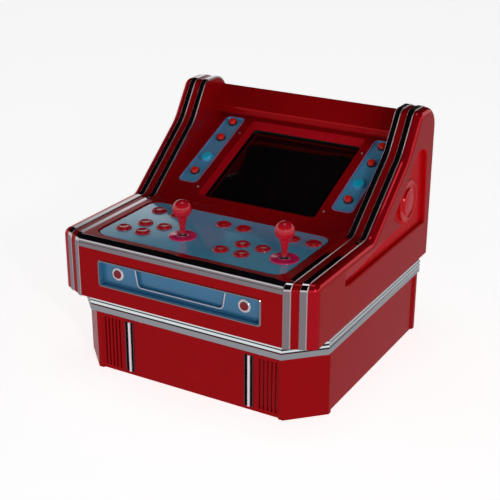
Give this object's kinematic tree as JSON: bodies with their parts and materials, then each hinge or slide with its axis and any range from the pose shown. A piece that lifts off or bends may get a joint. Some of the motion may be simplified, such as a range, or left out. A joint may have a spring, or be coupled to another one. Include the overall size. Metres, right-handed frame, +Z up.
{
  "type": "countertop arcade cabinet",
  "caption": "Two-player countertop video arcade cabinet: red side panels with chrome strips, horizontal control deck with joysticks and buttons, sloping screen, chamfered plinth.",
  "frame": {"origin": "centre of the footprint, on the surface the cabinet stands on", "axes": "+X to the right of a player facing the cabinet, +Y from the player to the back, +Z up"},
  "size_m": [0.52, 0.5201, 0.4601],
  "materials": {
    "red_gloss": "deep red gloss lacquer over board",
    "chrome": "polished, bright",
    "blue_metal": "smooth gloss blue coat on metal",
    "red_button": "polished red plastic",
    "cyan_lens": "polished cyan lens",
    "black_plastic": "fine satin texture",
    "dark_glass": "polished black picture tube face",
    "steel": "plain zinc plated steel",
    "board": "bare fibre board inside the cabinet",
    "circuit": "green solder mask"
  },
  "bodies": {
    "cabinet": {"base_panels": "red_gloss", "corner_posts": "red_gloss", "vent_trims": "chrome", "chrome_moulding": "chrome", "upper_floor": "board", "front_fascia": "red_gloss", "fascia_insert": "blue_metal", "insert_frame": "chrome", "front_button_rings": "chrome", "nose_trim": "chrome", "side_panels": "red_gloss", "side_covers": "red_gloss", "edge_strips": "chrome", "speaker_covers": "red_gloss", "side_speakers": "black_plastic", "deck_surround": "red_gloss", "control_plate": "blue_metal", "button_housings": "red_button", "microswitches": "black_plastic", "joystick_housings": "steel", "joystick_discs": "red_button", "monitor_bezel": "red_gloss", "crt_tube": "dark_glass", "strip_panels": "blue_metal", "strip_collars": "black_plastic", "strip_lamps": "cyan_lens", "button_springs": "steel", "hood": "red_gloss", "rear_panel": "red_gloss", "power_inlet": "black_plastic", "circuit_board": "circuit", "power_supply": "steel"},
    "deck_button_01": {"deck_button_01": "red_button"},
    "deck_button_02": {"deck_button_02": "red_button"},
    "deck_button_03": {"deck_button_03": "red_button"},
    "deck_button_04": {"deck_button_04": "red_button"},
    "deck_button_05": {"deck_button_05": "red_button"},
    "deck_button_06": {"deck_button_06": "red_button"},
    "deck_button_07": {"deck_button_07": "red_button"},
    "deck_button_08": {"deck_button_08": "red_button"},
    "deck_button_09": {"deck_button_09": "red_button"},
    "deck_button_10": {"deck_button_10": "red_button"},
    "deck_button_11": {"deck_button_11": "red_button"},
    "deck_button_12": {"deck_button_12": "red_button"},
    "deck_button_13": {"deck_button_13": "red_button"},
    "deck_button_14": {"deck_button_14": "red_button"},
    "front_button_left": {"front_button_left": "red_button"},
    "front_button_right": {"front_button_right": "red_button"},
    "left_strip_button_1": {"left_strip_button_1": "red_button"},
    "left_strip_button_2": {"left_strip_button_2": "red_button"},
    "left_strip_button_3": {"left_strip_button_3": "red_button"},
    "right_strip_button_1": {"right_strip_button_1": "red_button"},
    "right_strip_button_2": {"right_strip_button_2": "red_button"},
    "right_strip_button_3": {"right_strip_button_3": "red_button"},
    "gimbal_1": {"joystick_gimbal_1": "steel"},
    "stick_1": {"joystick_stick_1": "red_button"},
    "gimbal_2": {"joystick_gimbal_2": "steel"},
    "stick_2": {"joystick_stick_2": "red_button"},
    "door": {"service_door": "black_plastic"},
    "lock": {"door_lock": "steel"}
  },
  "joints": [
    {"name": "deck_button_01_joint", "type": "slide", "parent": "cabinet", "child": "deck_button_01", "axis": [0, 0, -1], "range_m": [0, 0.003], "stiffness_N_per_m": 150},
    {"name": "deck_button_02_joint", "type": "slide", "parent": "cabinet", "child": "deck_button_02", "axis": [0, 0, -1], "range_m": [0, 0.003], "stiffness_N_per_m": 150},
    {"name": "deck_button_03_joint", "type": "slide", "parent": "cabinet", "child": "deck_button_03", "axis": [0, 0, -1], "range_m": [0, 0.003], "stiffness_N_per_m": 150},
    {"name": "deck_button_04_joint", "type": "slide", "parent": "cabinet", "child": "deck_button_04", "axis": [0, 0, -1], "range_m": [0, 0.003], "stiffness_N_per_m": 150},
    {"name": "deck_button_05_joint", "type": "slide", "parent": "cabinet", "child": "deck_button_05", "axis": [0, 0, -1], "range_m": [0, 0.003], "stiffness_N_per_m": 150},
    {"name": "deck_button_06_joint", "type": "slide", "parent": "cabinet", "child": "deck_button_06", "axis": [0, 0, -1], "range_m": [0, 0.003], "stiffness_N_per_m": 150},
    {"name": "deck_button_07_joint", "type": "slide", "parent": "cabinet", "child": "deck_button_07", "axis": [0, 0, -1], "range_m": [0, 0.003], "stiffness_N_per_m": 150},
    {"name": "deck_button_08_joint", "type": "slide", "parent": "cabinet", "child": "deck_button_08", "axis": [0, 0, -1], "range_m": [0, 0.003], "stiffness_N_per_m": 150},
    {"name": "deck_button_09_joint", "type": "slide", "parent": "cabinet", "child": "deck_button_09", "axis": [0, 0, -1], "range_m": [0, 0.003], "stiffness_N_per_m": 150},
    {"name": "deck_button_10_joint", "type": "slide", "parent": "cabinet", "child": "deck_button_10", "axis": [0, 0, -1], "range_m": [0, 0.003], "stiffness_N_per_m": 150},
    {"name": "deck_button_11_joint", "type": "slide", "parent": "cabinet", "child": "deck_button_11", "axis": [0, 0, -1], "range_m": [0, 0.003], "stiffness_N_per_m": 150},
    {"name": "deck_button_12_joint", "type": "slide", "parent": "cabinet", "child": "deck_button_12", "axis": [0, 0, -1], "range_m": [0, 0.003], "stiffness_N_per_m": 150},
    {"name": "deck_button_13_joint", "type": "slide", "parent": "cabinet", "child": "deck_button_13", "axis": [0, 0, -1], "range_m": [0, 0.003], "stiffness_N_per_m": 150},
    {"name": "deck_button_14_joint", "type": "slide", "parent": "cabinet", "child": "deck_button_14", "axis": [0, 0, -1], "range_m": [0, 0.003], "stiffness_N_per_m": 150},
    {"name": "front_button_left_joint", "type": "slide", "parent": "cabinet", "child": "front_button_left", "axis": [0, 1, 0], "range_m": [0, 0.003], "stiffness_N_per_m": 150},
    {"name": "front_button_right_joint", "type": "slide", "parent": "cabinet", "child": "front_button_right", "axis": [0, 1, 0], "range_m": [0, 0.003], "stiffness_N_per_m": 150},
    {"name": "left_strip_button_1_joint", "type": "slide", "parent": "cabinet", "child": "left_strip_button_1", "axis": [0, 0.3851, -0.9229], "range_m": [0, 0.003], "stiffness_N_per_m": 150},
    {"name": "left_strip_button_2_joint", "type": "slide", "parent": "cabinet", "child": "left_strip_button_2", "axis": [0, 0.3851, -0.9229], "range_m": [0, 0.003], "stiffness_N_per_m": 150},
    {"name": "left_strip_button_3_joint", "type": "slide", "parent": "cabinet", "child": "left_strip_button_3", "axis": [0, 0.3851, -0.9229], "range_m": [0, 0.003], "stiffness_N_per_m": 150},
    {"name": "right_strip_button_1_joint", "type": "slide", "parent": "cabinet", "child": "right_strip_button_1", "axis": [0, 0.3851, -0.9229], "range_m": [0, 0.003], "stiffness_N_per_m": 150},
    {"name": "right_strip_button_2_joint", "type": "slide", "parent": "cabinet", "child": "right_strip_button_2", "axis": [0, 0.3851, -0.9229], "range_m": [0, 0.003], "stiffness_N_per_m": 150},
    {"name": "right_strip_button_3_joint", "type": "slide", "parent": "cabinet", "child": "right_strip_button_3", "axis": [0, 0.3851, -0.9229], "range_m": [0, 0.003], "stiffness_N_per_m": 150},
    {"name": "gimbal_1_joint", "type": "hinge", "parent": "cabinet", "child": "gimbal_1", "pos_m": [-0.0458, -0.1655, 0.258], "axis": [0, 1, 0], "range_deg": [-8, 8], "stiffness_Nm_per_rad": 0.4},
    {"name": "stick_1_joint", "type": "hinge", "parent": "gimbal_1", "child": "stick_1", "pos_m": [-0.0458, -0.1655, 0.258], "axis": [1, 0, 0], "range_deg": [-8, 8], "stiffness_Nm_per_rad": 0.4},
    {"name": "gimbal_2_joint", "type": "hinge", "parent": "cabinet", "child": "gimbal_2", "pos_m": [0.1598, -0.1655, 0.258], "axis": [0, 1, 0], "range_deg": [-8, 8], "stiffness_Nm_per_rad": 0.4},
    {"name": "stick_2_joint", "type": "hinge", "parent": "gimbal_2", "child": "stick_2", "pos_m": [0.1598, -0.1655, 0.258], "axis": [1, 0, 0], "range_deg": [-8, 8], "stiffness_Nm_per_rad": 0.4},
    {"name": "door_joint", "type": "hinge", "parent": "cabinet", "child": "door", "pos_m": [0.124, 0.2537, 0.275], "axis": [0, 0, 1], "range_deg": [-110, 0]},
    {"name": "lock_joint", "type": "hinge", "parent": "door", "child": "lock", "pos_m": [-0.1, 0.2505, 0.275], "axis": [0, 1, 0], "range_deg": [-90, 0]}
  ]
}
